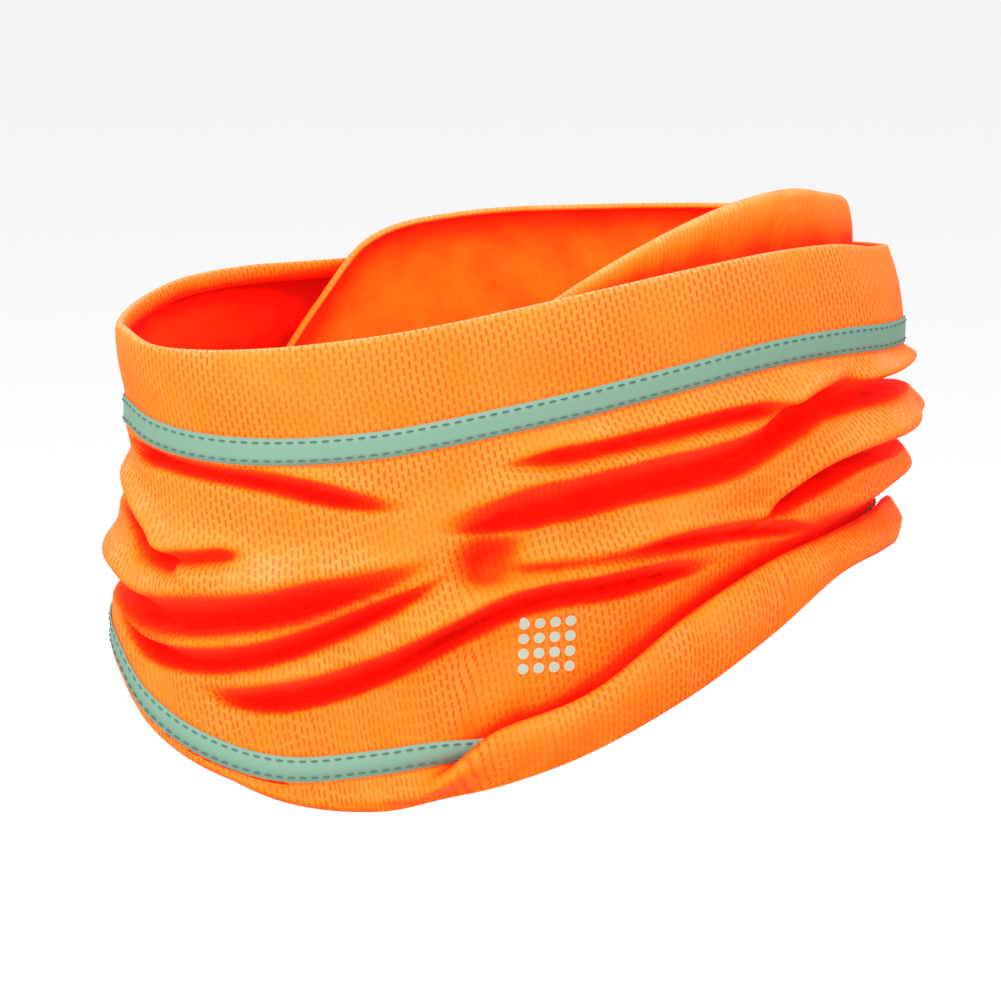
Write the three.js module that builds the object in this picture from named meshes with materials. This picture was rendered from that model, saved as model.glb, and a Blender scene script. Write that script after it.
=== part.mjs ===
// A loop scarf: one tube of fluorescent mesh cloth, doubled at the hem, with two sewn
// reflective tapes and a small reflective print. Lengths are in millimetres. The neck runs
// up +Z, the throat faces -Y, and +X is the wearer's left. Angles go round from the throat
// towards +X.
import * as THREE from 'three';

// The ring that the cloth follows round the neck.
const HALF_WIDTH = 96;
const HALF_DEPTH = 58;

// Heights above and below the shoulder line, and how far the cloth can stand off the ring.
const RIM_HEIGHT = 72;
const FRONT_DROP = 50;
const COLLAR_HEIGHT = 80;
const BAND_HEIGHT = 22;
const TAPE_WIDTH = 6.4;
const FLARE = 6;

// The rolled upper edge, the hem and the pocket that the hem forms on the wearer's left.
const ROLL = 1.6;
const POCKET_DEPTH = 5.5;
const RIDGE_OUT = 5.7;
const POCKET_SHARE = 0.38;
const LEAST_HEM = 3.5;
const TUCK_OUT_BY = 0.6;
const TUCK_UP_FROM = 0.3;

// Cloth, tape and print.
const CLOTH_WALL = 1.1;
const ROLLED_WALL = 2.2;
const LAYER_GAP = 13;
const LEAST_LAYER_GAP = 6;
const MOST_STRETCH = 1.35;
const ROLL_ROWS = 3;
const TAPE_WALL = 0.4;
const PRINT_WALL = 0.3;
const SEWN_GAP = 0.3;

// Folds of the body. A crease reaches CREASE_REACH of its widths up and down. Above it the
// cloth swells, most at RIDGE_AT widths. SAG is how far deep cloth rises with its depth.
const FOLD_DEPTH = 8.5;
const FOLD_WIDTH = 6;
const FOLD_FADE = 0.22;
const CREASE_REACH = 2.0;
const CREASE_BEND = 1.6;
const RIDGE_AT = 1.9;
const RIDGE_SPREAD = 1.0;
const RIDGE_SHARE = 0.26;
const SAG = 0.12;
const DEEPEST = 1.3;
const HIGHEST = 1.1;
const TOP_EASE = 0.05;
const FOOT_EASE = 0.12;

// How finely the cloth is laid out.
const FRONT_START = -82.5;
const FRONT_END = 88.5;
const FRONT_COLUMNS = 38;
const BACK_COLUMNS = 22;
const BODY_ROWS = 20;
const FULL_TURN = 360;

// The print: its first column, how many columns it covers, its first body row and its rows.
const PRINT_COLUMN = 16;
const PRINT_COLUMNS = 2;
const PRINT_ROW = 13;
const PRINT_ROWS = 4;

// One row for each angle in degrees. rim, hem, lower and collar are shares of RIM_HEIGHT,
// FRONT_DROP (downwards), FRONT_DROP (downwards) and COLLAR_HEIGHT. band is a share of
// BAND_HEIGHT. The sides are shares of FLARE, tuck says how far the hem pocket is formed,
// and layer is the inner layer's share of LAYER_GAP at the collar.
const SECTION_COLUMNS = [
  'angle', 'rim', 'band', 'lower', 'hem', 'collar',
  'rimSide', 'tapeSide', 'bodySide', 'lowerSide', 'hemSide', 'tuck', 'layer',
];
const SECTIONS = [
  [-180, 0.91, 0.92, -0.04, 0.30, 0.945, 0.0, 0.1, 0.5, 0.3, 0.25, 0.0, 0.62],
  [-165, 0.903, 0.92, -0.02, 0.31, 0.88, 0.0, 0.1, 0.5, 0.3, 0.25, 0.0, 0.62],
  [-155, 0.905, 0.92, 0.00, 0.315, 0.69, 0.0, 0.1, 0.5, 0.3, 0.25, 0.0, 0.66],
  [-145, 0.91, 0.93, 0.05, 0.33, 0.51, 0.0, 0.1, 0.4, 0.3, 0.25, 0.0, 0.75],
  [-130, 0.90, 0.92, 0.10, 0.35, 0.40, 0.05, 0.0, 0.4, 0.3, 0.28, 0.0, 0.9],
  [-115, 0.86, 0.88, 0.15, 0.38, 0.37, 0.15, -0.1, 0.3, 0.4, 0.35, 0.0, 1.0],
  [-100, 0.825, 0.80, 0.20, 0.42, 0.35, 0.2, -0.15, 0.2, 0.55, 0.55, 0.0, 1.0],
  [-88, 0.83, 0.77, 0.28, 0.48, 0.35, 0.2, -0.1, 0.2, 0.55, 0.55, 0.0, 1.0],
  [-75, 0.80, 0.78, 0.475, 0.65, 0.36, 0.15, 0.0, 0.3, 0.5, 0.5, 0.0, 1.0],
  [-60, 0.806, 0.87, 0.63, 0.81, 0.37, 0.1, 0.1, 0.4, 0.45, 0.45, 0.0, 1.0],
  [-45, 0.83, 0.94, 0.71, 0.95, 0.40, 0.0, 0.1, 0.5, 0.4, 0.4, 0.0, 1.0],
  [-30, 0.872, 0.98, 0.665, 0.98, 0.48, 0.0, 0.1, 0.5, 0.35, 0.35, 0.15, 1.0],
  [-20, 0.91, 0.98, 0.615, 0.92, 0.60, 0.0, 0.1, 0.5, 0.25, 0.28, 0.55, 1.0],
  [-12, 0.945, 0.98, 0.57, 0.87, 0.70, 0.0, 0.1, 0.5, 0.15, 0.25, 0.92, 1.0],
  [0, 0.996, 0.985, 0.44, 0.745, 0.86, 0.0, 0.1, 0.5, 0.05, 0.3, 1.0, 1.05],
  [15, 1.05, 0.96, 0.12, 0.525, 1.00, 0.0, 0.15, 0.5, -0.2, 0.35, 1.0, 1.05],
  [30, 1.082, 0.92, -0.07, 0.275, 1.085, 0.0, 0.2, 0.5, -0.5, 0.4, 1.0, 1.05],
  [45, 1.078, 0.89, -0.14, 0.05, 1.11, -0.1, 0.3, 0.6, -0.7, 0.45, 1.0, 1.0],
  [60, 1.04, 0.83, -0.17, 0.0, 1.08, -0.1, 0.4, 0.7, -0.8, 0.5, 1.0, 0.95],
  [75, 1.015, 0.80, -0.17, 0.02, 1.05, -0.1, 0.5, 0.6, -0.8, 0.5, 1.0, 0.85],
  [83, 1.0, 0.81, -0.155, 0.07, 1.03, -0.1, 0.48, 0.55, -0.5, 0.45, 1.0, 0.8],
  [92, 0.987, 0.82, -0.135, 0.18, 1.005, -0.1, 0.44, 0.5, -0.1, 0.1, 0.0, 0.74],
  [110, 0.965, 0.87, -0.10, 0.22, 0.98, -0.1, 0.3, 0.5, 0.1, 0.2, 0.0, 0.62],
  [130, 0.945, 0.90, -0.07, 0.26, 0.97, -0.1, 0.2, 0.5, 0.2, 0.22, 0.0, 0.6],
  [155, 0.925, 0.92, -0.05, 0.295, 0.96, 0.0, 0.1, 0.5, 0.3, 0.25, 0.0, 0.6],
];

// One row for each crease of the body. It runs from one angle to another through four
// heights, as shares of the body from the upper tape down to the lower one. depth is a share
// of FOLD_DEPTH; above and below are how wide it opens, as shares of FOLD_WIDTH.
const FOLD_COLUMNS = ['start', 'end', 'first', 'second', 'third', 'fourth', 'depth', 'above', 'below'];
const FOLDS = [
  [-92, -24, 0.11, 0.045, 0.07, 0.20, 1.0, 0.42, 0.4],
  [-134, -60, 0.34, 0.35, 0.39, 0.47, 1.1, 0.6, 0.45],
  [-82, -50, 0.50, 0.43, 0.37, 0.31, 0.6, 0.35, 0.4],
  [-125, -20, 0.89, 0.83, 0.57, 0.40, 1.7, 0.8, 0.4],
  [-90, -18, 0.93, 0.79, 0.62, 0.44, 1.2, 0.45, 0.4],
  [-62, 22, 0.88, 0.77, 0.60, 0.88, 1.5, 0.6, 0.4],
  [-22, 50, 0.29, 0.32, 0.41, 0.11, 2.0, 0.9, 0.4],
  [-14, 36, 0.11, 0.14, 0.18, 0.21, 0.9, 0.4, 0.4],
  [24, 104, 0.27, 0.25, 0.20, 0.17, 1.4, 0.5, 0.4],
  [24, 104, 0.80, 0.60, 0.58, 0.48, 1.4, 0.65, 0.4],
  [-20, 44, 0.46, 0.53, 0.74, 0.98, 0.6, 0.35, 0.4],
  [80, 200, 0.20, 0.28, 0.22, 0.30, 0.9, 1.2, 0.7],
  [95, 235, 0.52, 0.45, 0.55, 0.48, 1.0, 1.2, 0.7],
  [78, 170, 0.84, 0.74, 0.78, 0.66, 0.8, 1.1, 0.7],
  [150, 262, 0.72, 0.80, 0.70, 0.80, 0.9, 1.2, 0.7],
  [185, 250, 0.14, 0.24, 0.20, 0.26, 0.8, 0.9, 0.7],
];

// Dents (out below zero) and pillows of the body: the angle, the height share, the spread in
// degrees, the rise as a share of FOLD_WIDTH, and out as a share of FOLD_DEPTH.
const PILLOW_COLUMNS = ['angle', 'height', 'spread', 'rise', 'out'];
const PILLOWS = [
  [-14, 0.42, 3.5, 0.9, -1.2],
  [42, 0.22, 9, 0.7, -0.5],
  [-22, 0.60, 14, 0.9, 0.3],
  [4, 0.54, 18, 0.9, 0.3],
  [56, 0.46, 14, 0.9, 0.6],
  [80, 0.76, 14, 0.7, 0.7],
  [86, 0.38, 8, 0.7, 0.5],
  [-104, 0.18, 18, 0.9, -0.35],
  [-60, 0.40, 18, 1.0, 0.35],
  [52, 0.82, 18, 0.7, 0.4],
];

// The cloth's section, a row for each bend. The height lies between two levels by share,
// plus rise as a share of POCKET_DEPTH. The distance out lies between two sides by blend,
// plus push as a share of RIDGE_OUT. steps is how many rows of cloth lead to the next bend.
const BEND_COLUMNS = [
  'level', 'toLevel', 'share', 'rise', 'side', 'toSide', 'blend', 'push', 'steps',
];
const UPPER_BENDS = [
  ['rim', 'rim', 0, 0, 'rimSide', 'rimSide', 0, -0.09, 1],
  ['rim', 'rim', 0, -0.26, 'rimSide', 'rimSide', 0, 0, 1],
  ['rim', 'tapeTop', 0.5, 0, 'rimSide', 'tapeSide', 0.5, 0.09, 2],
  ['tapeTop', 'tapeTop', 0, 0, 'tapeSide', 'tapeSide', 0, 0, 1],
  ['tapeFoot', 'tapeFoot', 0, 0, 'tapeSide', 'tapeSide', 0, 0, 0],
];
const FLAT_HEM_BENDS = [
  ['lower', 'lower', 0, 0, 'lowerSide', 'lowerSide', 0, 0, 1],
  ['lower', 'lower', 0, -0.07, 'lowerSide', 'lowerSide', 0, 0, 1],
  ['lowerFoot', 'lowerFoot', 0, 0, 'lowerSide', 'lowerSide', 0, 0, 1],
  ['lowerFoot', 'hemTurn', 0.16, 0, 'lowerSide', 'hemSide', 0.1, 0, 1],
  ['lowerFoot', 'hemTurn', 0.3, 0, 'lowerSide', 'hemSide', 0.2, 0, 1],
  ['lowerFoot', 'hemTurn', 0.44, 0, 'lowerSide', 'hemSide', 0.35, 0, 1],
  ['lowerFoot', 'hemTurn', 0.58, 0, 'lowerSide', 'hemSide', 0.5, 0, 1],
  ['lowerFoot', 'hemTurn', 0.72, 0, 'lowerSide', 'hemSide', 0.65, 0, 1],
  ['lowerFoot', 'hemTurn', 0.86, 0, 'lowerSide', 'hemSide', 0.8, 0, 1],
  ['hemTurn', 'hemTurn', 0, 0, 'hemSide', 'hemSide', 0, 0, 1],
  ['hem', 'hemTurn', 0.3, 0, 'hemSide', 'hemSide', 0, -0.08, 1],
  ['hem', 'hem', 0, 0, 'hemSide', 'hemSide', 0, -0.28, 1],
  ['hem', 'hemTurn', 0.3, 0, 'hemSide', 'hemSide', 0, -0.5, 1],
  ['hem', 'hem', 0, 1.0, 'liningSide', 'liningSide', 0, 0.18, 2],
];
const TUCKED_HEM_BENDS = [
  ['lower', 'lower', 0, 0, 'lowerSide', 'lowerSide', 0, 0, 1],
  ['lower', 'pocket', 0.42, 0, 'lowerSide', 'lowerSide', 0, 0, 1],
  ['lower', 'pocket', 1.3, 0, 'lowerSide', 'lowerSide', 0, -0.05, 1],
  ['lower', 'pocket', 1.5, 0, 'lowerSide', 'lowerSide', 0, 0.14, 1],
  ['lower', 'pocket', 1.0, 0, 'lowerSide', 'lowerSide', 0, 0.30, 1],
  ['lower', 'pocket', 0.1, 0, 'lowerSide', 'lowerSide', 0, 0.39, 1],
  ['lower', 'lower', 0, 0.18, 'lowerSide', 'lowerSide', 0, 0.68, 1],
  ['lower', 'lower', 0, -0.22, 'lowerSide', 'lowerSide', 0, 1, 1],
  ['lower', 'hemTurn', 0.5, 0, 'lowerSide', 'hemSide', 0.5, 0.8, 1],
  ['hemTurn', 'hemTurn', 0, 0, 'hemSide', 'hemSide', 0, 0, 1],
  ['hem', 'hemTurn', 0.3, 0, 'hemSide', 'hemSide', 0, -0.08, 1],
  ['hem', 'hem', 0, 0, 'hemSide', 'hemSide', 0, -0.28, 1],
  ['hem', 'hemTurn', 0.2, 0, 'hemSide', 'hemSide', 0, -0.5, 1],
  ['hem', 'hem', 0, 0.35, 'liningSide', 'liningSide', 0, 0.18, 2],
];
const INNER_BENDS = [
  ['hem', 'collar', 0.45, 0, 'liningSide', 'liningSide', 0, 0, 2],
  ['hem', 'collar', 0.85, 0, 'layerSide', 'layerSide', 0, 0, 1],
  ['collar', 'collar', 0, -0.55, 'layerSide', 'layerSide', 0, -0.10, 1],
  ['collar', 'collar', 0, 0, 'layerSide', 'layerSide', 0, -0.31, 1],
  ['collar', 'collar', 0, -0.11, 'layerSide', 'layerSide', 0, -0.52, 0],
];

const smooth = (value) => {
  const held = Math.min(Math.max(value, 0), 1);
  return held * held * (3 - 2 * held);
};

const mix = (from, to, share) => from + (to - from) * share;

const named = (columns, row) => Object.fromEntries(columns.map((name, i) => [name, row[i]]));

// A curve through points, between the second and the third of four.
function throughPoints(before, from, to, after, share) {
  const square = share * share;
  const cube = square * share;
  const start = 2 * from;
  const slope = (to - before) * share;
  const bend = (2 * before - 5 * from + 4 * to - after) * square;
  const twist = (3 * from - before - 3 * to + after) * cube;
  return (start + slope + bend + twist) / 2;
}

// The section table at any angle: a smooth curve through its rows, all the way round.
function sectionAt(angle) {
  const count = SECTIONS.length;
  const rowAt = (i) => {
    const turns = Math.floor(i / count);
    const row = SECTIONS[i - turns * count];
    return [row[0] + turns * FULL_TURN, ...row.slice(1)];
  };
  let i = 0;
  while (rowAt(i + 1)[0] <= angle) {
    i += 1;
  }
  const [before, from, to, after] = [rowAt(i - 1), rowAt(i), rowAt(i + 1), rowAt(i + 2)];
  const step = to[0] - from[0];
  const t = (angle - from[0]) / step;
  const values = from.map((value, k) => {
    const leaving = (to[k] - before[k]) / (to[0] - before[0]) * step;
    const arriving = (after[k] - from[k]) / (after[0] - from[0]) * step;
    const eased = smooth(t);
    const start = t * (1 - t) * (1 - t) * leaving;
    const end = t * t * (t - 1) * arriving;
    return mix(value, to[k], eased) + start + end;
  });
  return named(SECTION_COLUMNS, values);
}

// Real heights and distances out at one angle.
function measuresAt(angle) {
  const section = sectionAt(angle);
  const rim = section.rim * RIM_HEIGHT;
  const tapeTop = rim - section.band * BAND_HEIGHT;
  const lower = -section.lower * FRONT_DROP;
  const lowerFoot = lower - TAPE_WIDTH;
  const tuck = Math.min(Math.max(section.tuck, 0), 1);
  const leastHem = mix(lowerFoot - LEAST_HEM, lower - TAPE_WIDTH, tuck);
  const hem = Math.min(-section.hem * FRONT_DROP, leastHem);
  const hemSide = section.hemSide * FLARE;
  return {
    rim,
    tapeTop,
    tapeFoot: tapeTop - TAPE_WIDTH,
    lower,
    lowerFoot,
    pocket: lower - Math.min(POCKET_DEPTH, (lower - hem) * POCKET_SHARE),
    hem,
    hemTurn: hem + ROLL,
    collar: section.collar * COLLAR_HEIGHT,
    rimSide: section.rimSide * FLARE,
    tapeSide: section.tapeSide * FLARE,
    bodySide: section.bodySide * FLARE,
    lowerSide: section.lowerSide * FLARE,
    hemSide,
    liningSide: Math.min(hemSide - LEAST_LAYER_GAP, -LAYER_GAP),
    layerSide: -section.layer * LAYER_GAP,
    tuckedOut: smooth(tuck / TUCK_OUT_BY),
    tuckedUp: smooth((tuck - TUCK_UP_FROM) / (1 - TUCK_UP_FROM)),
  };
}

// One bend of the section: its distance out and its height.
function bendPoint(row, measures) {
  const bend = named(BEND_COLUMNS, row);
  const height = mix(measures[bend.level], measures[bend.toLevel], bend.share);
  const out = mix(measures[bend.side], measures[bend.toSide], bend.blend);
  return [out + bend.push * RIDGE_OUT, height + bend.rise * POCKET_DEPTH];
}

// Rows of cloth along a line of bends.
function rowsThrough(points, steps) {
  const rows = [];
  points.slice(0, -1).forEach((from, i) => {
    const to = points[i + 1];
    const before = points[i - 1] ?? from.map((value, k) => 2 * value - to[k]);
    const after = points[i + 2] ?? to.map((value, k) => 2 * value - from[k]);
    for (let step = 0; step < steps[i]; step += 1) {
      const share = step / steps[i];
      rows.push(from.map((_, k) => throughPoints(before[k], from[k], to[k], after[k], share)));
    }
  });
  rows.push(points[points.length - 1]);
  return rows;
}

// How deep one crease draws the body in, at an angle and a height share.
function creaseDepth(fold, angle, share, height) {
  const along = (angle - fold.start) / (fold.end - fold.start);
  if (along <= 0 || along >= 1) {
    return 0;
  }
  const heights = [fold.first, fold.second, fold.third, fold.fourth];
  const place = along * (heights.length - 1);
  const i = Math.min(Math.floor(place), heights.length - 2);
  const [from, to] = [heights[i], heights[i + 1]];
  const before = heights[i - 1] ?? 2 * from - to;
  const after = heights[i + 2] ?? 2 * to - from;
  const line = throughPoints(before, from, to, after, place - i);
  const over = (line - share) * height;
  const away = Math.abs(over) / ((over > 0 ? fold.above : fold.below) * FOLD_WIDTH);
  const fade = smooth(along / FOLD_FADE) * smooth((1 - along) / FOLD_FADE);
  const drop = Math.max(1 - away / CREASE_REACH, 0) ** CREASE_BEND;
  const ridge = over > 0 ? Math.exp(-(((away - RIDGE_AT) / RIDGE_SPREAD) ** 2)) : 0;
  return fold.depth * fade * (drop - RIDGE_SHARE * ridge);
}

// How far one pillow or dent moves the body out.
function pillowLift(pillow, angle, share, height) {
  const around = (angle - pillow.angle) / pillow.spread;
  const over = (pillow.height - share) * height / (pillow.rise * FOLD_WIDTH);
  return pillow.out * Math.exp(-around * around - over * over);
}

// All the folds together, held between the deepest and the highest.
function foldLift(angle, share, height) {
  let lift = 0;
  for (const turn of [-FULL_TURN, 0, FULL_TURN]) {
    for (const row of FOLDS) {
      lift -= creaseDepth(named(FOLD_COLUMNS, row), angle + turn, share, height);
    }
    for (const row of PILLOWS) {
      lift += pillowLift(named(PILLOW_COLUMNS, row), angle + turn, share, height);
    }
  }
  const limit = lift < 0 ? DEEPEST : HIGHEST;
  const eased = smooth(share / TOP_EASE) * smooth((1 - share) / FOOT_EASE);
  return limit * Math.tanh(lift / limit) * eased * FOLD_DEPTH;
}

// The body between the two tapes.
function bodyRows(angle, measures) {
  const height = measures.tapeFoot - measures.lower;
  const middle = 2 * measures.bodySide - (measures.tapeSide + measures.lowerSide) / 2;
  const rows = [];
  for (let row = 1; row < BODY_ROWS; row += 1) {
    const share = row / BODY_ROWS;
    const over = mix(measures.tapeSide, middle, share);
    const under = mix(middle, measures.lowerSide, share);
    const lift = foldLift(angle, share, height);
    rows.push([mix(over, under, share) + lift, measures.tapeFoot - share * height - SAG * lift]);
  }
  return rows;
}

// The whole section at one angle, and where its parts begin.
function profileAt(angle) {
  const measures = measuresAt(angle);
  const steps = (rows) => rows.map((row) => row[row.length - 1]);
  const points = (rows) => rows.map((row) => bendPoint(row, measures));
  const upper = rowsThrough(points(UPPER_BENDS), steps(UPPER_BENDS));
  const tucked = points(TUCKED_HEM_BENDS);
  const hem = points(FLAT_HEM_BENDS).map((point, i) => (
    [mix(point[0], tucked[i][0], measures.tuckedOut), mix(point[1], tucked[i][1], measures.tuckedUp)]
  ));
  const foldedPoints = [...hem, ...points(INNER_BENDS)];
  const foldedSteps = [...steps(FLAT_HEM_BENDS), ...steps(INNER_BENDS)];
  const folded = rowsThrough(foldedPoints, foldedSteps);
  const body = bodyRows(angle, measures);
  return {
    rows: [...upper, ...body, ...folded],
    topTape: upper.length - 2,
    bodyStart: upper.length - 1,
    lowTape: upper.length + body.length + 1,
  };
}

// The way out of the cloth at each row of a section, longer at a corner so that the wall
// stays even on both sides of it.
function facings(rows) {
  const along = rows.slice(1).map((to, i) => (
    new THREE.Vector2(to[0] - rows[i][0], to[1] - rows[i][1]).normalize()
  ));
  return rows.map((_, i) => {
    const before = along[Math.max(i - 1, 0)];
    const after = along[Math.min(i, along.length - 1)];
    const middle = before.clone().add(after).normalize();
    const stretch = Math.min(1 / middle.dot(after), MOST_STRETCH);
    return [-middle.y * stretch, middle.x * stretch];
  });
}

// The cloth's thickness at each row: rolled at both free edges.
function wallAt(row, rowCount) {
  const fromEdge = Math.min(row, rowCount - 1 - row);
  return mix(ROLLED_WALL, CLOTH_WALL, smooth(fromEdge / ROLL_ROWS));
}

function columnAngles() {
  const angles = [];
  const front = (FRONT_END - FRONT_START) / FRONT_COLUMNS;
  const back = (FULL_TURN - (FRONT_END - FRONT_START)) / BACK_COLUMNS;
  for (let i = 0; i < FRONT_COLUMNS; i += 1) {
    angles.push(FRONT_START + i * front);
  }
  for (let i = 0; i < BACK_COLUMNS; i += 1) {
    angles.push(FRONT_END + i * back);
  }
  return angles;
}

// A point at a distance out from the ring, in space.
function placeAt(angle, out, height) {
  const turn = THREE.MathUtils.degToRad(angle);
  const [sin, cos] = [Math.sin(turn), Math.cos(turn)];
  const facing = new THREE.Vector2(sin / HALF_WIDTH, -cos / HALF_DEPTH).normalize();
  return [HALF_WIDTH * sin + out * facing.x, -HALF_DEPTH * cos + out * facing.y, height];
}

// All columns of the cloth, with a way to place any of their rows off the surface.
function layOutCloth() {
  const angles = columnAngles();
  const profiles = angles.map((angle) => profileAt(angle));
  const facing = profiles.map((profile) => facings(profile.rows));
  const place = (row, column, off) => {
    const [out, height] = profiles[column].rows[row];
    const [outward, upward] = facing[column][row];
    return placeAt(angles[column], out + off * outward, height + off * upward);
  };
  return { columns: angles.length, profile: profiles[0], place };
}

// A closed body between two surfaces, each a grid of points over rows and columns.
function closedLayer(rows, columns, closedRound, pointAt) {
  const positions = [];
  const index = (side, row, column) => (side * rows + row) * columns + column;
  for (const side of [0, 1]) {
    for (let row = 0; row < rows; row += 1) {
      for (let column = 0; column < columns; column += 1) {
        positions.push(...pointAt(side, row, column));
      }
    }
  }
  const faces = [];
  const corner = (i) => new THREE.Vector3().fromArray(positions, 3 * i);
  const quad = (a, b, c, d) => faces.push(a, b, c, a, c, d);
  const spans = closedRound ? columns : columns - 1;
  for (let column = 0; column < spans; column += 1) {
    const next = (column + 1) % columns;
    for (let row = 0; row < rows - 1; row += 1) {
      const outer = [[row, column], [row + 1, column], [row + 1, next], [row, next]];
      const [a, b, c, d] = outer.map(([r, k]) => index(0, r, k));
      const [e, f, g, h] = outer.map(([r, k]) => index(1, r, k));
      if (corner(a).distanceTo(corner(c)) < corner(b).distanceTo(corner(d))) {
        quad(a, b, c, d);
        quad(g, f, e, h);
      } else {
        quad(b, c, d, a);
        quad(f, e, h, g);
      }
    }
    quad(index(0, 0, column), index(0, 0, next), index(1, 0, next), index(1, 0, column));
    const last = rows - 1;
    quad(index(0, last, next), index(0, last, column), index(1, last, column), index(1, last, next));
  }
  if (!closedRound) {
    const last = columns - 1;
    for (let row = 0; row < rows - 1; row += 1) {
      quad(index(0, row + 1, 0), index(0, row, 0), index(1, row, 0), index(1, row + 1, 0));
      quad(index(0, row, last), index(0, row + 1, last), index(1, row + 1, last), index(1, row, last));
    }
  }
  const geometry = new THREE.BufferGeometry();
  geometry.setAttribute('position', new THREE.Float32BufferAttribute(positions, 3));
  geometry.setIndex(faces);
  geometry.computeVertexNormals();
  return geometry;
}

function namedMesh(name, geometry, material) {
  const mesh = new THREE.Mesh(geometry, material);
  mesh.name = name;
  return mesh;
}

const meshCloth = () => new THREE.MeshStandardMaterial({
  color: '#ff8a24',
  roughness: 0.85,
  metalness: 0,
});

const reflectiveTape = () => new THREE.MeshStandardMaterial({
  color: '#8fb5a4',
  roughness: 0.5,
  metalness: 0,
});

const reflectivePrint = () => new THREE.MeshStandardMaterial({
  color: '#d9dcc8',
  roughness: 0.5,
  metalness: 0,
});

function fabricTube(cloth) {
  const rows = cloth.profile.rows.length;
  const geometry = closedLayer(rows, cloth.columns, true, (side, row, column) => (
    cloth.place(row, column, side === 0 ? 0 : -wallAt(row, rows))
  ));
  return namedMesh('fabric_tube', geometry, meshCloth());
}

function tape(name, cloth, firstRow) {
  const geometry = closedLayer(2, cloth.columns, true, (side, row, column) => (
    cloth.place(firstRow + row, column, side === 0 ? SEWN_GAP + TAPE_WALL : SEWN_GAP)
  ));
  return namedMesh(name, geometry, reflectiveTape());
}

function print(cloth) {
  const firstRow = cloth.profile.bodyStart + PRINT_ROW;
  const geometry = closedLayer(PRINT_ROWS + 1, PRINT_COLUMNS + 1, false, (side, row, column) => (
    cloth.place(firstRow + row, PRINT_COLUMN + column, side === 0 ? SEWN_GAP + PRINT_WALL : SEWN_GAP)
  ));
  return namedMesh('reflective_print', geometry, reflectivePrint());
}

function loopScarf() {
  const cloth = layOutCloth();
  const scarf = new THREE.Group();
  scarf.name = 'loop_scarf';
  scarf.add(fabricTube(cloth));
  scarf.add(tape('reflective_tape_top', cloth, cloth.profile.topTape));
  scarf.add(tape('reflective_tape_bottom', cloth, cloth.profile.lowTape));
  scarf.add(print(cloth));
  return scarf;
}

export default loopScarf();
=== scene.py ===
# %% [markdown]
# A loop scarf is one tube of stretchy mesh cloth that is gathered round the neck. Here it keeps
# the form that it has when worn. The CAD model is loaded first, as a fixed frame in metres.
# Everything made later goes where the CAD says.

# %% Load the frame
import math

import bpy
import numpy as np
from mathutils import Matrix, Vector
from mathutils.bvhtree import BVHTree


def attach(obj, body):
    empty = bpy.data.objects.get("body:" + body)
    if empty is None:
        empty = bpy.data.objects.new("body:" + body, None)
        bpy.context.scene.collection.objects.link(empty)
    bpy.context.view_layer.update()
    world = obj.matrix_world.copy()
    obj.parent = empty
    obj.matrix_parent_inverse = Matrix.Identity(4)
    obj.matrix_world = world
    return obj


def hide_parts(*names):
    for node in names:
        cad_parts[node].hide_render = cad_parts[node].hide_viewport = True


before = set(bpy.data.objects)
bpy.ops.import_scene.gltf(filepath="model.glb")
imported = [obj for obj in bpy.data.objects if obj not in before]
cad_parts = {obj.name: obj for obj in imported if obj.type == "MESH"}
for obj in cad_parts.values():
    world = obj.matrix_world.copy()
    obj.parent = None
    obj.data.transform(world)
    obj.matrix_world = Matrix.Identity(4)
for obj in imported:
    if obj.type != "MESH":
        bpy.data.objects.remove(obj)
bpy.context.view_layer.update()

MM = 0.001

# %% [markdown]
# Small helpers serve the whole scene. An operator acts on all that is selected, so everything
# is deselected before one is used. A colour is written as in a paint program and turned into
# the linear light that Blender works with. One function adds a shader node of any kind, with
# its settings and links, so a material reads as a short list of what feeds what.

# %% Helpers
def deselect():
    bpy.ops.object.select_all(action="DESELECT")


def linear(hex_colour):
    """An sRGB hex colour as linear red, green, blue and alpha."""
    channels = [int(hex_colour[i:i + 2], 16) / 255 for i in (1, 3, 5)]
    return [c / 12.92 if c <= 0.04045 else ((c + 0.055) / 1.055) ** 2.4 for c in channels] + [1]


def add_node(tree, kind, inputs=(), **settings):
    """A shader node. Its inputs go by name or in order, and each is a value or a socket."""
    node = tree.nodes.new("ShaderNode" + kind)
    for name, value in settings.items():
        setattr(node, name, value)
    for name, value in inputs.items() if isinstance(inputs, dict) else enumerate(inputs):
        if isinstance(value, bpy.types.NodeSocket):
            tree.links.new(value, node.inputs[name])
        else:
            node.inputs[name].default_value = value
    return node


def link(obj):
    bpy.context.scene.collection.objects.link(obj)
    return obj


print("the middle grey #808080 in linear light:", round(linear("#808080")[0], 3))

# %% [markdown]
# The photograph looks at the throat from the wearer's right and a little from above, through a
# long lens, so the near and far sides of the ring are almost the same size. A flat view without
# perspective would be close to it, but a real lens keeps the slight narrowing of the far rim.
# The camera stands a metre away and looks at a point just above the shoulder line.

# %% Camera
VIEW_AZIMUTH = -17
VIEW_ELEVATION = 12
VIEW_DISTANCE = 1.0
VIEW_CENTRE = Vector((-3, 0, 12)) * MM
LENS = 147
SENSOR = 36


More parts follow.
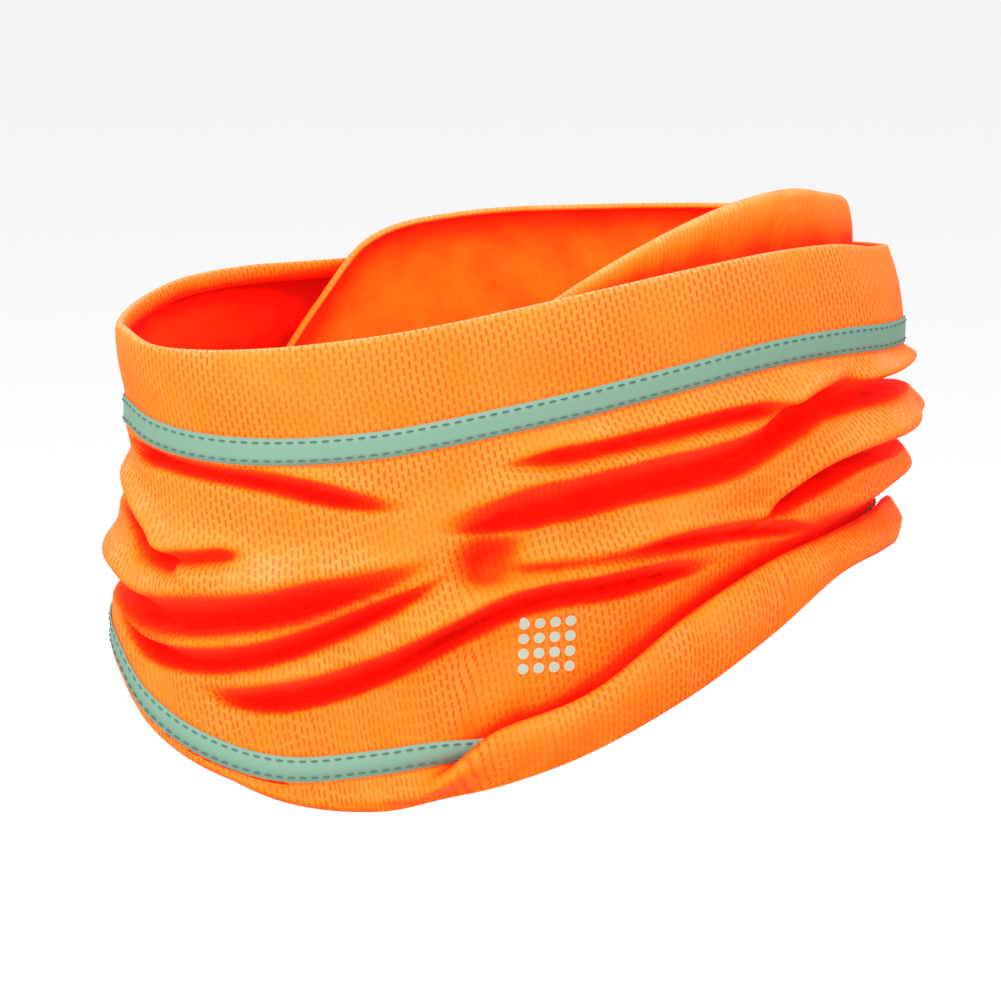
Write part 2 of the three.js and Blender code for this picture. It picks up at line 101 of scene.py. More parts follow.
def photo_camera():
    turn, lift = math.radians(VIEW_AZIMUTH), math.radians(VIEW_ELEVATION)
    back = Vector((
        math.sin(turn) * math.cos(lift),
        -math.cos(turn) * math.cos(lift),
        math.sin(lift),
    ))
    data = bpy.data.cameras.new("photo_camera")
    data.lens = LENS
    data.sensor_width = SENSOR
    camera = link(bpy.data.objects.new("photo_camera", data))
    camera.location = VIEW_CENTRE + back * VIEW_DISTANCE
    camera.rotation_euler = (-back).to_track_quat("-Z", "Y").to_euler()
    bpy.context.scene.camera = camera
    return camera


print("camera at", [round(v, 3) for v in photo_camera().location])

# %% [markdown]
# On the real scarf one tube of cloth is gathered round the neck and turned in at the hem. It
# could be draped by a simulation, but that settles a little differently with every change, and
# the folds in the photograph would have to come by luck. So the cloth is described as the CAD
# model describes it: a ring round the neck, a table of sections round the ring, and a table of
# creases. All sizes are in millimetres, and the tables hold shares of them.

# %% Sizes of the scarf
# The ring that the gathered body follows
HALF_WIDTH, HALF_DEPTH = 96, 58
# From the shoulder line: up to the rim, down to the lowest hem, and up to the collar
RIM_HEIGHT, FRONT_DROP, COLLAR_HEIGHT = 72, 50, 80
# The plain band above the upper tape, the tape, and how far out a side of 1 stands
BAND_HEIGHT, TAPE_WIDTH, FLARE = 22, 6.4, 6
# The rounding of the hem, and the pocket that the hem band forms in front of the lower tape
ROLL, POCKET_DEPTH, RIDGE_OUT = 1.6, 5.5, 5.7
POCKET_SHARE, LEAST_HEM = 0.38, 3.5
TUCK_OUT_BY, TUCK_UP_FROM = 0.6, 0.3
# The space between the outer and the inner layer of cloth
LAYER_GAP, LEAST_LAYER_GAP = 13, 6
FULL_TURN = 360
print("ring of", 2 * HALF_WIDTH, "by", 2 * HALF_DEPTH, "mm")

# %% [markdown]
# Each row of the section table is one angle, counted from the throat towards the wearer's left.
# It says how high the rim and the collar rise, how low the lower tape and the hem hang, and how
# far each stands out. tuck says how far the hem band folds up in front of the lower tape.

# %% Section table
SECTION_COLUMNS = (
    "angle", "rim", "band", "lower", "hem", "collar",
    "rim_side", "tape_side", "body_side", "lower_side", "hem_side", "tuck", "layer",
)
SECTIONS = [
    (-180, 0.91, 0.92, -0.04, 0.30, 0.945, 0.0, 0.1, 0.5, 0.3, 0.25, 0.0, 0.62),
    (-165, 0.903, 0.92, -0.02, 0.31, 0.88, 0.0, 0.1, 0.5, 0.3, 0.25, 0.0, 0.62),
    (-155, 0.905, 0.92, 0.00, 0.315, 0.69, 0.0, 0.1, 0.5, 0.3, 0.25, 0.0, 0.66),
    (-145, 0.91, 0.93, 0.05, 0.33, 0.51, 0.0, 0.1, 0.4, 0.3, 0.25, 0.0, 0.75),
    (-130, 0.90, 0.92, 0.10, 0.35, 0.40, 0.05, 0.0, 0.4, 0.3, 0.28, 0.0, 0.9),
    (-115, 0.86, 0.88, 0.15, 0.38, 0.37, 0.15, -0.1, 0.3, 0.4, 0.35, 0.0, 1.0),
    (-100, 0.825, 0.80, 0.20, 0.42, 0.35, 0.2, -0.15, 0.2, 0.55, 0.55, 0.0, 1.0),
    (-88, 0.83, 0.77, 0.28, 0.48, 0.35, 0.2, -0.1, 0.2, 0.55, 0.55, 0.0, 1.0),
    (-75, 0.80, 0.78, 0.475, 0.65, 0.36, 0.15, 0.0, 0.3, 0.5, 0.5, 0.0, 1.0),
    (-60, 0.806, 0.87, 0.63, 0.81, 0.37, 0.1, 0.1, 0.4, 0.45, 0.45, 0.0, 1.0),
    (-45, 0.83, 0.94, 0.71, 0.95, 0.40, 0.0, 0.1, 0.5, 0.4, 0.4, 0.0, 1.0),
    (-30, 0.872, 0.98, 0.665, 0.98, 0.48, 0.0, 0.1, 0.5, 0.35, 0.35, 0.15, 1.0),
    (-20, 0.91, 0.98, 0.615, 0.92, 0.60, 0.0, 0.1, 0.5, 0.25, 0.28, 0.55, 1.0),
    (-12, 0.945, 0.98, 0.57, 0.87, 0.70, 0.0, 0.1, 0.5, 0.15, 0.25, 0.92, 1.0),
    (0, 0.996, 0.985, 0.44, 0.745, 0.86, 0.0, 0.1, 0.5, 0.05, 0.3, 1.0, 1.05),
    (15, 1.05, 0.96, 0.12, 0.525, 1.00, 0.0, 0.15, 0.5, -0.2, 0.35, 1.0, 1.05),
    (30, 1.082, 0.92, -0.07, 0.275, 1.085, 0.0, 0.2, 0.5, -0.5, 0.4, 1.0, 1.05),
    (45, 1.078, 0.89, -0.14, 0.05, 1.11, -0.1, 0.3, 0.6, -0.7, 0.45, 1.0, 1.0),
    (60, 1.04, 0.83, -0.17, 0.0, 1.08, -0.1, 0.4, 0.7, -0.8, 0.5, 1.0, 0.95),
    (75, 1.015, 0.80, -0.17, 0.02, 1.05, -0.1, 0.5, 0.6, -0.8, 0.5, 1.0, 0.85),
    (83, 1.0, 0.81, -0.155, 0.07, 1.03, -0.1, 0.48, 0.55, -0.5, 0.45, 1.0, 0.8),
    (92, 0.987, 0.82, -0.135, 0.18, 1.005, -0.1, 0.44, 0.5, -0.1, 0.1, 0.0, 0.74),
    (110, 0.965, 0.87, -0.10, 0.22, 0.98, -0.1, 0.3, 0.5, 0.1, 0.2, 0.0, 0.62),
    (130, 0.945, 0.90, -0.07, 0.26, 0.97, -0.1, 0.2, 0.5, 0.2, 0.22, 0.0, 0.6),
    (155, 0.925, 0.92, -0.05, 0.295, 0.96, 0.0, 0.1, 0.5, 0.3, 0.25, 0.0, 0.6),
]
print(len(SECTIONS), "sections round the neck")

# %% [markdown]
# A crease is a line along which the cloth is drawn in, so that the cloth above and below it
# swells like two pillows. Creases could be sculpted with a brush, but in a table each one can be
# moved or deepened by itself, and it stays smooth on any grid. Each row runs from one angle to
# another through four heights, and above and below say how steeply the cloth falls into it from
# either side. A pillow is a place where the cloth is puffed out, or pressed in where its last
# value is below zero.

# %% Crease and pillow tables
CREASES = [
    (-92, -24, 0.11, 0.045, 0.07, 0.20, 1.0, 0.42, 0.4),
    (-134, -60, 0.34, 0.35, 0.39, 0.47, 1.1, 0.6, 0.45),
    (-82, -50, 0.50, 0.43, 0.37, 0.31, 0.6, 0.35, 0.4),
    (-125, -20, 0.89, 0.83, 0.57, 0.40, 1.7, 0.8, 0.4),
    (-90, -18, 0.93, 0.79, 0.62, 0.44, 1.2, 0.45, 0.4),
    (-62, 22, 0.88, 0.77, 0.60, 0.88, 1.5, 0.6, 0.4),
    (-22, 50, 0.29, 0.32, 0.41, 0.11, 2.0, 0.9, 0.4),
    (-14, 36, 0.11, 0.14, 0.18, 0.21, 0.9, 0.4, 0.4),
    (24, 104, 0.27, 0.25, 0.20, 0.17, 1.4, 0.5, 0.4),
    (24, 104, 0.80, 0.60, 0.58, 0.48, 1.4, 0.65, 0.4),
    (-20, 44, 0.46, 0.53, 0.74, 0.98, 0.6, 0.35, 0.4),
    (80, 200, 0.20, 0.28, 0.22, 0.30, 0.9, 1.2, 0.7),
    (95, 235, 0.52, 0.45, 0.55, 0.48, 1.0, 1.2, 0.7),
    (78, 170, 0.84, 0.74, 0.78, 0.66, 0.8, 1.1, 0.7),
    (150, 262, 0.72, 0.80, 0.70, 0.80, 0.9, 1.2, 0.7),
    (185, 250, 0.14, 0.24, 0.20, 0.26, 0.8, 0.9, 0.7),
]
PILLOWS = [
    (-14, 0.42, 3.5, 0.9, -1.2),
    (42, 0.22, 9, 0.7, -0.5),
    (-22, 0.60, 14, 0.9, 0.3),
    (4, 0.54, 18, 0.9, 0.3),
    (56, 0.46, 14, 0.9, 0.6),
    (80, 0.76, 14, 0.7, 0.7),
    (86, 0.38, 8, 0.7, 0.5),
    (-104, 0.18, 18, 0.9, -0.35),
    (-60, 0.40, 18, 1.0, 0.35),
    (52, 0.82, 18, 0.7, 0.4),
]
print(len(CREASES), "creases,", len(PILLOWS), "pillows and dents")

# %% [markdown]
# The section itself is a line of bends from the rim down to the hem and up again inside. A bend
# lies between two levels and between two sides, by a share of the way, and the last column says
# how many rows of cloth lead on to the next bend. The hem has two forms, flat and tucked up.

# %% Bend tables
RIM_BENDS = [
    ("rim", "rim", 0, -0.80, "rim_side", "rim_side", 0, -0.42, 2),
    ("rim", "rim", 0, -0.36, "rim_side", "rim_side", 0, -0.47, 2),
    ("rim", "rim", 0, -0.05, "rim_side", "rim_side", 0, -0.38, 3),
    ("rim", "rim", 0, 0.02, "rim_side", "rim_side", 0, -0.17, 3),
    ("rim", "rim", 0, -0.26, "rim_side", "rim_side", 0, 0, 3),
    ("rim", "tape_top", 0.5, 0, "rim_side", "tape_side", 0.5, 0.09, 5),
    ("tape_top", "tape_top", 0, 0, "tape_side", "tape_side", 0, 0, 3),
    ("tape_foot", "tape_foot", 0, 0, "tape_side", "tape_side", 0, 0, 0),
]
FLAT_HEM_BENDS = [
    ("lower", "lower", 0, 0, "lower_side", "lower_side", 0, 0, 1),
    ("lower", "lower", 0, -0.07, "lower_side", "lower_side", 0, 0, 1),
    ("lower_foot", "lower_foot", 0, 0, "lower_side", "lower_side", 0, 0, 1),
    ("lower_foot", "hem_turn", 0.16, 0, "lower_side", "hem_side", 0.1, 0, 1),
    ("lower_foot", "hem_turn", 0.3, 0, "lower_side", "hem_side", 0.2, 0, 1),
    ("lower_foot", "hem_turn", 0.44, 0, "lower_side", "hem_side", 0.35, 0, 1),
    ("lower_foot", "hem_turn", 0.58, 0, "lower_side", "hem_side", 0.5, 0, 1),
    ("lower_foot", "hem_turn", 0.72, 0, "lower_side", "hem_side", 0.65, 0, 1),
    ("lower_foot", "hem_turn", 0.86, 0, "lower_side", "hem_side", 0.8, 0, 1),
    ("hem_turn", "hem_turn", 0, 0, "hem_side", "hem_side", 0, 0, 1),
    ("hem", "hem_turn", 0.3, 0, "hem_side", "hem_side", 0, -0.08, 1),
    ("hem", "hem", 0, 0, "hem_side", "hem_side", 0, -0.28, 1),
    ("hem", "hem_turn", 0.3, 0, "hem_side", "hem_side", 0, -0.5, 1),
    ("hem", "hem", 0, 1.0, "lining_side", "lining_side", 0, 0.18, 2),
]
TUCKED_HEM_BENDS = [
    ("lower", "lower", 0, 0, "lower_side", "lower_side", 0, 0, 1),
    ("lower", "pocket", 0.42, 0, "lower_side", "lower_side", 0, 0, 1),
    ("lower", "pocket", 1.3, 0, "lower_side", "lower_side", 0, -0.05, 1),
    ("lower", "pocket", 1.5, 0, "lower_side", "lower_side", 0, 0.14, 1),
    ("lower", "pocket", 1.0, 0, "lower_side", "lower_side", 0, 0.30, 1),
    ("lower", "pocket", 0.1, 0, "lower_side", "lower_side", 0, 0.39, 1),
    ("lower", "lower", 0, 0.18, "lower_side", "lower_side", 0, 0.68, 1),
    ("lower", "lower", 0, -0.22, "lower_side", "lower_side", 0, 1, 1),
    ("lower", "hem_turn", 0.5, 0, "lower_side", "hem_side", 0.5, 0.8, 1),
    ("hem_turn", "hem_turn", 0, 0, "hem_side", "hem_side", 0, 0, 1),
    ("hem", "hem_turn", 0.3, 0, "hem_side", "hem_side", 0, -0.08, 1),
    ("hem", "hem", 0, 0, "hem_side", "hem_side", 0, -0.28, 1),
    ("hem", "hem_turn", 0.2, 0, "hem_side", "hem_side", 0, -0.5, 1),
    ("hem", "hem", 0, 0.35, "lining_side", "lining_side", 0, 0.18, 2),
]
INNER_BENDS = [
    ("hem", "collar", 0.45, 0, "lining_side", "lining_side", 0, 0, 2),
    ("hem", "collar", 0.85, 0, "layer_side", "layer_side", 0, 0, 1),
    ("collar", "collar", 0, -0.55, "layer_side", "layer_side", 0, -0.10, 1),
    ("collar", "collar", 0, 0, "layer_side", "layer_side", 0, -0.31, 1),
    ("collar", "collar", 0, -0.11, "layer_side", "layer_side", 0, -0.52, 0),
]
print("bends from rim to collar:", len(RIM_BENDS) + len(TUCKED_HEM_BENDS) + len(INNER_BENDS))

# %% [markdown]
# The next functions read the tables. Between two rows of the section table every value follows
# one smooth curve, all the way round, and a line of bends becomes a smooth curve of cloth.

# %% Reading the tables
def smooth(value):
    held = np.clip(value, 0, 1)
    return held * held * (3 - 2 * held)


def mix(low, high, share):
    return low + (high - low) * share


def through_points(before, low, high, after, share):
    """A curve through four values, between the second and the third."""
    slope = (high - before) * share
    bend = (2 * before - 5 * low + 4 * high - after) * share ** 2
    twist = (3 * low - before - 3 * high + after) * share ** 3
    return (2 * low + slope + bend + twist) / 2


def sections_at(angles):
    """Every column of the section table at each angle."""
    table = np.array(SECTIONS, float)
    turn = np.zeros(table.shape[1])
    turn[0] = FULL_TURN
    table = np.concatenate([table[-1:] - turn, table, table[:2] + turn])
    angles = (np.asarray(angles, float) + 180) % FULL_TURN - 180
    i = np.clip(np.searchsorted(table[:, 0], angles, side="right") - 1, 1, len(table) - 3)
    before, low, high, after = (table[i + k] for k in (-1, 0, 1, 2))
    step = high[:, :1] - low[:, :1]
    share = (angles[:, None] - low[:, :1]) / step
    leaving = (high - before) / (high[:, :1] - before[:, :1]) * step
    arriving = (after - low) / (after[:, :1] - low[:, :1]) * step
    start = share * (1 - share) ** 2 * leaving
    end = share ** 2 * (share - 1) * arriving
    return dict(zip(SECTION_COLUMNS, (mix(low, high, smooth(share)) + start + end).T))


def measures_at(angles):
    """Heights and distances out, in millimetres, at each angle."""
    s = sections_at(angles)
    m = {"rim": s["rim"] * RIM_HEIGHT, "collar": s["collar"] * COLLAR_HEIGHT}
    m["tape_top"] = m["rim"] - s["band"] * BAND_HEIGHT
    m["tape_foot"] = m["tape_top"] - TAPE_WIDTH
    m["lower"] = -s["lower"] * FRONT_DROP
    m["lower_foot"] = m["lower"] - TAPE_WIDTH
    tuck = np.clip(s["tuck"], 0, 1)
    least_hem = mix(m["lower_foot"] - LEAST_HEM, m["lower"] - TAPE_WIDTH, tuck)
    m["hem"] = np.minimum(-s["hem"] * FRONT_DROP, least_hem)
    m["pocket"] = m["lower"] - np.minimum(POCKET_DEPTH, (m["lower"] - m["hem"]) * POCKET_SHARE)
    m["hem_turn"] = m["hem"] + ROLL
    for side in ("rim_side", "tape_side", "body_side", "lower_side", "hem_side"):
        m[side] = s[side] * FLARE
    m["lining_side"] = np.minimum(m["hem_side"] - LEAST_LAYER_GAP, -LAYER_GAP)
    m["layer_side"] = -s["layer"] * LAYER_GAP
    m["tucked_out"] = smooth(tuck / TUCK_OUT_BY)
    m["tucked_up"] = smooth((tuck - TUCK_UP_FROM) / (1 - TUCK_UP_FROM))
    return m


def bend_points(rows, m):
    """Distance out and height of each bend, for every angle."""
    points = []
    for level, to_level, share, rise, side, to_side, blend, push, _ in rows:
        out = mix(m[side], m[to_side], blend) + push * RIDGE_OUT
        height = mix(m[level], m[to_level], share) + rise * POCKET_DEPTH
        points.append((out, height))
    return np.array(points)


def rows_through(points, steps):
    """Rows of cloth along a line of bends."""
    first, last = 2 * points[:1] - points[1:2], 2 * points[-1:] - points[-2:-1]
    padded = np.concatenate([first, points, last])
    rows = []
    for i, count in enumerate(steps[:len(points) - 1]):
        for step in range(count):
            rows.append(through_points(*padded[i:i + 4], step / count))
    rows.append(points[-1])
    return np.array(rows)


throat = {name: round(float(values[0]), 1) for name, values in measures_at([0]).items()}
print("heights at the throat in mm:", {name: throat[name] for name in ("rim", "lower", "hem")})

# %% [markdown]
# The creases and pillows are added up at every point of the body. The sum is held between a
# deepest and a highest value, so that crossing creases don't cut through the inner layer. What
# moves out sags a little, and what is drawn in sinks, so it slides behind the fold below and
# that fold shows a sharp upper edge. A crease is narrower at its ends than in its middle.

# %% Folds of the body
FOLD_DEPTH, FOLD_WIDTH, FOLD_FADE = 8.5, 6, 0.22
# How far a crease reaches, how sharply it bends, and its width above, below and at its ends
CREASE_REACH, CREASE_BEND = 2.0, 1.6
UNDERSIDE, SHELF, END_WIDTH = 0.92, 0.6, 0.45
# The ridge that swells above each crease
RIDGE_AT, RIDGE_SPREAD, RIDGE_SHARE = 1.9, 1.0, 0.26
# How far all folds together may go, and the shares of the height in which they rise and end
DEEPEST, HIGHEST = 1.3, 1.1
TOP_EASE, FOOT_EASE = 0.05, 0.12
# How far puffed cloth sags and drawn-in cloth sinks, as shares of how far it moves
SAG, SINK = 0.12, 0.22


def crease_depth(row, angles, shares, height):
    start, end, *heights, depth, above, below = row
    along = np.clip((angles - start) / (end - start), 0, 1)
    place = along * 3
    i = np.clip(place.astype(int), 0, 2)
    line = np.array([2 * heights[0] - heights[1], *heights, 2 * heights[3] - heights[2]])
    middle = through_points(line[i], line[i + 1], line[i + 2], line[i + 3], place - i)
    over = (middle - shares) * height
    fade = smooth(along / FOLD_FADE) * smooth((1 - along) / FOLD_FADE)
    width = np.where(over > 0, UNDERSIDE * above, SHELF * below) * FOLD_WIDTH
    away = np.abs(over) / (width * mix(END_WIDTH, 1, fade))
    drop = np.maximum(1 - away / CREASE_REACH, 0) ** CREASE_BEND
    ridge = np.where(over > 0, np.exp(-((away - RIDGE_AT) / RIDGE_SPREAD) ** 2), 0)
    return depth * fade * (drop - RIDGE_SHARE * ridge)


def pillow_lift(row, angles, shares, height):
    angle, share, spread, rise, out = row
    around = (angles - angle) / spread
    over = (share - shares) * height / (rise * FOLD_WIDTH)
    return out * np.exp(-around ** 2 - over ** 2)


def fold_lift(angles, shares, height):
    lift = 0
    for turn in (-FULL_TURN, 0, FULL_TURN):
        for row in CREASES:
            lift = lift - crease_depth(row, angles + turn, shares, height)
        for row in PILLOWS:
            lift = lift + pillow_lift(row, angles + turn, shares, height)
    limit = np.where(lift < 0, DEEPEST, HIGHEST)
    eased = smooth(shares / TOP_EASE) * smooth((1 - shares) / FOOT_EASE)
    return limit * np.tanh(lift / limit) * eased * FOLD_DEPTH


def body_points(angles, shares, m):
    """Distance out and height of the gathered body at any angle and share of its height."""
    height = m["tape_foot"] - m["lower"]
    middle = 2 * m["body_side"] - (m["tape_side"] + m["lower_side"]) / 2
    over, under = mix(m["tape_side"], middle, shares), mix(middle, m["lower_side"], shares)
    lift = fold_lift(angles, shares, height)
    fall = SAG * np.maximum(lift, 0) - SINK * np.minimum(lift, 0)
    return mix(over, under, shares) + lift, m["tape_foot"] - shares * height - fall


def in_space(angles, out, height):
    """Points in millimetres from an angle round the ring, a distance out and a height."""
    turn = np.radians(angles)
    across, along = np.sin(turn) / HALF_WIDTH, -np.cos(turn) / HALF_DEPTH
    size = np.hypot(across, along)
    x = HALF_WIDTH * np.sin(turn) + out * across / size
    y = -HALF_DEPTH * np.cos(turn) + out * along / size
    return np.stack(np.broadcast_arrays(x, y, height), -1)


AROUND = np.arange(-180, 180.0)
BODY_HEIGHTS = measures_at(AROUND)["tape_foot"] - measures_at(AROUND)["lower"]
LIFTS = fold_lift(AROUND, np.linspace(0, 1, 101)[:, None], BODY_HEIGHTS)
print("folds go from", round(float(LIFTS.min()), 1), "to", round(float(LIFTS.max()), 1), "mm")

# %% [markdown]
# The cloth is one grid of points: rows run from the rolled rim down over the folds, round the
# hem and up the inner layer to the collar, and columns run round the neck. Modelled by hand it
# would be a subdivided tube that is pulled into folds point by point. The tables do the same,
# and a fold can be moved by one number. The front has more columns than the plain back.

# %% Grid of the cloth
FRONT_START, FRONT_END = -82.5, 88.5
FRONT_COLUMNS, BACK_COLUMNS = 220, 100
TOP_TAPE_ROWS, BODY_ROWS = 4, 78
HEM_TURNS = 12
OUTER_STEPS, LINING_STEPS, INNER_STEPS = 2, 3, (4, 4, 3, 3)

ANGLES = np.concatenate([
    np.linspace(FRONT_START, FRONT_END, FRONT_COLUMNS, endpoint=False),
    np.linspace(FRONT_END, FRONT_START + FULL_TURN, BACK_COLUMNS, endpoint=False),
])
MEASURES = measures_at(ANGLES)


def body_grid():
    shares = (np.arange(1, BODY_ROWS) / BODY_ROWS)[:, None]
    rows = {name: values[None] for name, values in MEASURES.items()}
    return np.stack(body_points(ANGLES[None], shares, rows), 1)


def folded_grid():
    """The lower tape's cloth, the hem and the inner layer."""
    flat, tucked = (bend_points(rows, MEASURES) for rows in (FLAT_HEM_BENDS, TUCKED_HEM_BENDS))
    hem = mix(flat, tucked, np.stack([MEASURES["tucked_out"], MEASURES["tucked_up"]])[None])
    points = np.concatenate([hem, bend_points(INNER_BENDS, MEASURES)])
    # The first two bends lie so close together that a row between them would overshoot.
    steps = [1, *[OUTER_STEPS] * (HEM_TURNS - 1), *[LINING_STEPS] * 2, *INNER_STEPS]
    return rows_through(points, steps)


RIM_ROWS = rows_through(bend_points(RIM_BENDS, MEASURES), [row[-1] for row in RIM_BENDS])
SECTION_ROWS = np.concatenate([RIM_ROWS, body_grid(), folded_grid()])
CLOTH = in_space(ANGLES[None], SECTION_ROWS[:, 0], SECTION_ROWS[:, 1])
TOP_TAPE_ROW = len(RIM_ROWS) - TOP_TAPE_ROWS
LOW_TAPE_ROW = len(RIM_ROWS) + BODY_ROWS
LINING_ROW = LOW_TAPE_ROW + OUTER_STEPS * (HEM_TURNS - 1)
print("cloth grid:", CLOTH.shape[0], "rows of", CLOTH.shape[1], "points")

# %% [markdown]
# A grid becomes a mesh with its own map in real lengths: across the map is the way round the
# ring, and up the map is the way along the cloth. An unwrap would stretch over the folds, and
# here the knit follows every fold at its real size. The map's zero line is the upper edge of
# the upper tape. The Solidify modifier then gives the sheet its thickness.

# %% Meshes from grids
def cloth_map():
    """Distance round the ring and up the cloth, in millimetres, with the ring closed."""
    closed_angles = np.append(ANGLES, ANGLES[0] + FULL_TURN)
    ring = in_space(closed_angles, 0, 0)
    around = np.append(0, np.cumsum(np.linalg.norm(np.diff(ring, axis=0), axis=1)))
    down = np.cumsum(np.linalg.norm(np.diff(CLOTH, axis=0, prepend=CLOTH[:1]), axis=2), axis=0)
    down = np.concatenate([down, down[:, :1]], 1)
    up = down[TOP_TAPE_ROW] - down
    return np.stack(np.broadcast_arrays(around, up), -1)


def grid_object(name, grid, uv):
    """A ring of cloth over rows and columns of points, facing out."""
    rows, columns = grid.shape[:2]
    row, column = (a.ravel() for a in np.indices((rows - 1, columns)))
    corners = [(row, column), (row + 1, column), (row + 1, column + 1), (row, column + 1)]
    faces = np.stack([r * columns + c % columns for r, c in corners], 1)
    mesh = bpy.data.meshes.new(name)
    mesh.from_pydata((grid.reshape(-1, 3) * MM).tolist(), [], faces.tolist())
    layer = mesh.uv_layers.new(name="cloth")
    corner_uv = np.stack([uv[r, c] for r, c in corners], 1) * MM
    layer.data.foreach_set("uv", corner_uv.astype(np.float32).ravel())
    mesh.update()
    return link(bpy.data.objects.new(name, mesh))


def thicken(obj, wall, **settings):
    """Gives a sheet its thickness, towards its hidden side."""
    deselect()
    bpy.context.view_layer.objects.active = obj
    obj.select_set(True)
    modifier = obj.modifiers.new("Thickness", "SOLIDIFY")
    modifier.thickness = wall * MM
    modifier.offset = -1
    for name, value in settings.items():
        setattr(modifier, name, value)
    bpy.ops.object.modifier_apply(modifier=modifier.name)
    obj.data.shade_smooth()


CLOTH_WALL = 1.0
CLOTH_MAP = cloth_map()
cloth = grid_object("cloth_tube", CLOTH, CLOTH_MAP)
CLOTH_LENGTHS = CLOTH_MAP[0, :, 1] - CLOTH_MAP[-1, :, 1]
print("round:", round(float(CLOTH_MAP[0, -1, 0])), "mm, cloth from rim to collar:",
      round(float(CLOTH_LENGTHS.mean())), "mm on average")

# %% [markdown]
# The cloth of the outer layer is knitted polyester mesh with small upright eyelets. Modelling
# the holes would take millions of faces, so they are drawn from the cloth's own map: short dark
# dashes, every 1.4 mm round and every 2.6 mm down, with every second column half a step lower.
# A patchy noise weakens some of them, as stretched and slack cloth does.

# %% Eyelets
EYELET_ACROSS, EYELET_DOWN, EYELET_SLANT = 1.40, 2.6, 0.3
# Shares of a cell that stay closed beside and between the eyelets, and how sharp the edges are
CLOSED_BESIDE, CLOSED_BETWEEN, EYELET_EDGE = 0.25, 0.0667, 6.0
SWAY, SWAY_SCALE = 0.9, 140.0
PATCH_SCALE, PATCH_CONTRAST, PATCH_SHIFT = 45.0, 2.4, -0.45


def eyelet_pattern(tree, spot, strength):
    """As high as strength in an eyelet and 0 on the threads, from the map in metres."""
    # The knit's lines are never quite straight, so the map is shifted a little first.
    sway = add_node(tree, "TexNoise", {"Vector": spot, "Scale": SWAY_SCALE, "Detail": 1.0})
    shift = add_node(tree, "Math", (sway.outputs["Fac"], SWAY * MM, -SWAY * MM / 2),
                     operation="MULTIPLY_ADD").outputs[0]
    moved = add_node(tree, "VectorMath", (spot, shift), operation="ADD").outputs[0]
    cell = (EYELET_ACROSS * MM, EYELET_DOWN * MM, 1)
    cells = add_node(tree, "VectorMath", (moved, cell), operation="DIVIDE").outputs[0]
    axis = add_node(tree, "SeparateXYZ", {"Vector": cells}).outputs
    across = add_node(tree, "Math", (axis["Y"], EYELET_SLANT, axis["X"]),
                      operation="MULTIPLY_ADD").outputs[0]
    column = add_node(tree, "Math", (across,), operation="FLOOR").outputs[0]
    odd = add_node(tree, "Math", (column, 2.0), operation="MODULO").outputs[0]
    down = add_node(tree, "Math", (odd, 0.5, axis["Y"]), operation="MULTIPLY_ADD").outputs[0]
    patch = add_node(tree, "TexNoise", {"Vector": spot, "Scale": PATCH_SCALE, "Detail": 2.0})
    shown = add_node(tree, "Math", (patch.outputs["Fac"], PATCH_CONTRAST, PATCH_SHIFT),
                     operation="MULTIPLY_ADD", use_clamp=True).outputs[0]
    pattern = add_node(tree, "Math", (shown, strength), operation="MULTIPLY").outputs[0]
    for place, closed in ((across, CLOSED_BESIDE), (down, CLOSED_BETWEEN)):
        inside = add_node(tree, "Math", (place, 0.5), operation="PINGPONG").outputs[0]
        share = add_node(tree, "Math", (inside, EYELET_EDGE, -EYELET_EDGE * closed),
                         operation="MULTIPLY_ADD", use_clamp=True).outputs[0]
        pattern = add_node(tree, "Math", (pattern, share), operation="MULTIPLY").outputs[0]
    return pattern


print("an eyelet every", EYELET_ACROSS, "mm round and", EYELET_DOWN, "mm down")

# %% [markdown]
# The dye is fluorescent orange. In real light, cloth that is open to the light looks pale orange,
# and the deeper it lies in a fold, the redder it looks, as the light goes from fold to fold many
# times. Here that light and shade are painted into the colour: a ramp of colours gives the same
# steps and is easier to match, from a painted pale highlight on open cloth to painted deep red
# shade in the creases. The openness of each point, which the next step measures, says which
# colour is taken.

# %% Colour of the cloth
# Stops of the ramp, from painted deep red shade in the creases to a painted pale highlight on open
# cloth
LIT_ORANGE = "#ffa76e"
PALE_ORANGE, ORANGE, RED_ORANGE = "#ff8432", "#ff7008", "#ff3a00"
RED, DEEP_RED = "#fa1000", "#a00000"
LIGHT_AND_SHADE_COLOURS = [
    (0.10, DEEP_RED), (0.24, RED), (0.42, RED_ORANGE),
    (0.58, ORANGE), (0.75, PALE_ORANGE), (0.92, LIT_ORANGE),
]
EYELET_SHADE = (0.93, 0.40, 0.25, 1)
WRINKLE_SCALE, WRINKLE_SHARE = 90.0, 0.22


